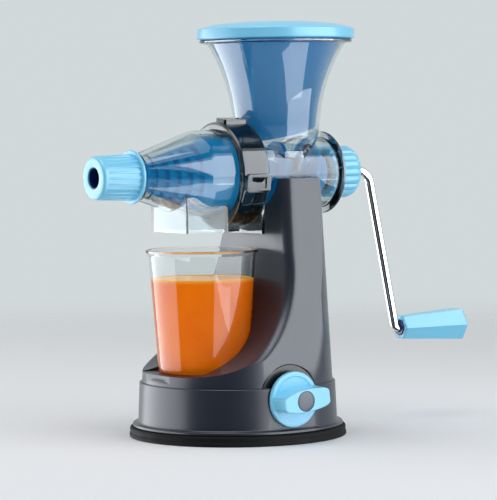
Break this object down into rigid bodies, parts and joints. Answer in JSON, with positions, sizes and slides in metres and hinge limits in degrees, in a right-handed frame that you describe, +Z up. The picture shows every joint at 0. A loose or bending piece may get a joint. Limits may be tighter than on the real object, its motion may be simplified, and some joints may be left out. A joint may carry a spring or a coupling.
{
  "type": "hand-cranked fruit juicer",
  "caption": "Hand-cranked plastic fruit juicer: suction base, column, clear barrel with hopper, auger, cone strainer cover, pulp nozzle, crank and cup.",
  "frame": {"origin": "centre of the suction base's underside, on the surface that the juicer stands on", "axes": "+Z up; the barrel lies along X, with the pulp nozzle at -X and the crank at +X; the suction knob faces -Y"},
  "size_m": [0.3336, 0.1683, 0.3025],
  "materials": {
    "grey_plastic": "satin",
    "black_plastic": "matt",
    "rubber": "matt",
    "blue_plastic": "glossy",
    "deep_blue_plastic": "glossy",
    "nylon": "satin",
    "clear_plastic": "clear, polished",
    "steel": "bright plated"
  },
  "bodies": {
    "stand": {"pedestal": "grey_plastic", "knob_hood": "black_plastic", "suction_pad": "rubber", "base_plate": "grey_plastic", "plate_screw_1": "steel", "plate_screw_2": "steel", "plate_screw_3": "steel", "plate_screw_4": "steel", "barrel": "clear_plastic", "barrel_screw_1": "steel", "barrel_screw_2": "steel", "cover_seal": "rubber", "front_cover": "clear_plastic", "strainer": "clear_plastic", "rear_seal": "rubber", "shaft_bush": "nylon"},
    "crank": {"crank_rod": "steel", "drive_stub": "steel", "set_screw": "steel", "auger": "deep_blue_plastic", "grip_retainer": "steel"},
    "hand_grip": {"grip": "blue_plastic", "grip_bush": "deep_blue_plastic", "grip_cap": "blue_plastic"},
    "collar": {"locking_collar": "clear_plastic"},
    "nozzle": {"pulp_nozzle": "blue_plastic"},
    "nut": {"rear_nut": "blue_plastic"},
    "food_pusher": {"pusher": "deep_blue_plastic", "hopper_lid": "blue_plastic"},
    "juice_cup": {"cup": "clear_plastic"},
    "knob": {"suction_knob": "blue_plastic", "knob_screw": "steel", "knob_cap": "grey_plastic", "cam_shaft": "steel"},
    "stem": {"pull_stem": "steel"}
  },
  "joints": [
    {"name": "crank_turn", "type": "hinge", "parent": "stand", "child": "crank", "pos_m": [0.0805, 0, 0.1905], "axis": [1, 0, 0], "continuous": true},
    {"name": "grip_spin", "type": "hinge", "parent": "crank", "child": "hand_grip", "pos_m": [0.149, 0, 0.0702], "axis": [1, 0, 0], "continuous": true},
    {"name": "collar_turn", "type": "hinge", "parent": "stand", "child": "collar", "pos_m": [0, 0, 0.1905], "axis": [1, 0, 0], "range_deg": [0, 54]},
    {"name": "nozzle_turn", "type": "hinge", "parent": "stand", "child": "nozzle", "pos_m": [-0.1, 0, 0.1905], "axis": [1, 0, 0], "range_deg": [0, 180]},
    {"name": "nut_turn", "type": "hinge", "parent": "stand", "child": "nut", "pos_m": [0.09, 0, 0.1905], "axis": [1, 0, 0], "range_deg": [0, 180]},
    {"name": "pusher_lift", "type": "slide", "parent": "stand", "child": "food_pusher", "axis": [0, 0, 1], "range_m": [0, 0.1]},
    {"name": "cup_slide", "type": "slide", "parent": "stand", "child": "juice_cup", "axis": [-1, 0, 0], "range_m": [0, 0.12]},
    {"name": "suction_lever", "type": "hinge", "parent": "stand", "child": "knob", "pos_m": [0, -0.07, 0.0315], "axis": [0, -1, 0], "range_deg": [0, 90]},
    {"name": "stem_lift", "type": "slide", "parent": "stand", "child": "stem", "axis": [0, 0, 1], "range_m": [0, 0.0015], "deforming": ["suction_pad"]}
  ],
  "couplings": [
    {"joint": "stem_lift", "follows": "suction_lever", "m_per_rad": 0.00095493}
  ]
}
